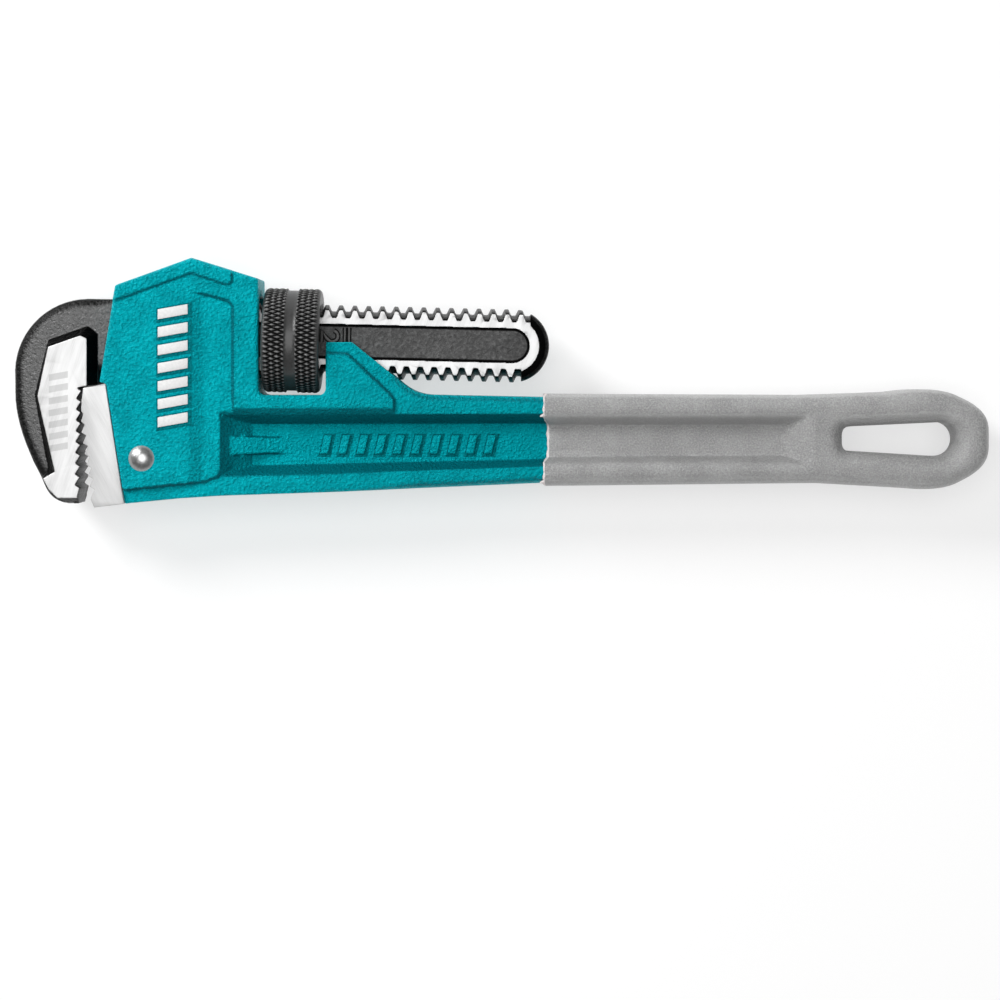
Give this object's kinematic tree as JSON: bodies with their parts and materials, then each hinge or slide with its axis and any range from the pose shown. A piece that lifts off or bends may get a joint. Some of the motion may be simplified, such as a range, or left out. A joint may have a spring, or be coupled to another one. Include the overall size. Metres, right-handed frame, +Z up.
{
  "type": "pipe wrench",
  "caption": "Straight adjustable pipe wrench with a sliding toothed hook jaw, a toothed heel jaw, a knurled nut and an I-beam handle with a dipped grip.",
  "frame": {"origin": "centre of the bounding box in plan, at the lowest point, where the adjusting nut rests on the surface", "axes": "+X along the handle towards its end, +Y towards the roof of the head, +Z up, square to the flat sides of the wrench"},
  "size_m": [0.2972, 0.0758, 0.032],
  "materials": {
    "teal_paint": "satin",
    "grey_vinyl": "matte",
    "black_forging": "satin",
    "ground_steel": "satin",
    "polished_steel": "polished",
    "nut_black": "satin",
    "spring_steel": "satin",
    "badge_white": "satin"
  },
  "bodies": {
    "frame": {"handle_housing": "teal_paint", "grip_sleeve": "grey_vinyl", "heel_jaw": "ground_steel", "heel_jaw_pin": "polished_steel", "coil_spring": "spring_steel"},
    "leaf_spring": {"leaf_spring": "spring_steel"},
    "hook_jaw": {"hook_jaw": "black_forging"},
    "adjusting_nut": {"adjusting_nut": "nut_black"}
  },
  "joints": [
    {"name": "jaw_rock", "type": "hinge", "parent": "frame", "child": "leaf_spring", "pos_m": [-0.0639, 0.0129, 0.016], "axis": [0, 0, 1], "range_deg": [-2, 0], "stiffness_Nm_per_rad": 6, "springref_deg": 2.01},
    {"name": "nut_spin", "type": "hinge", "parent": "leaf_spring", "child": "adjusting_nut", "pos_m": [-0.0639, 0.0129, 0.016], "axis": [-0.9997, 0.0244, 0], "range_deg": [-5104, 0]},
    {"name": "jaw_slide", "type": "slide", "parent": "leaf_spring", "child": "hook_jaw", "axis": [-0.9997, 0.0244, 0], "range_m": [0, 0.06]}
  ],
  "couplings": [
    {"joint": "nut_spin", "follows": "jaw_slide", "rad_per_m": -1484.2}
  ]
}
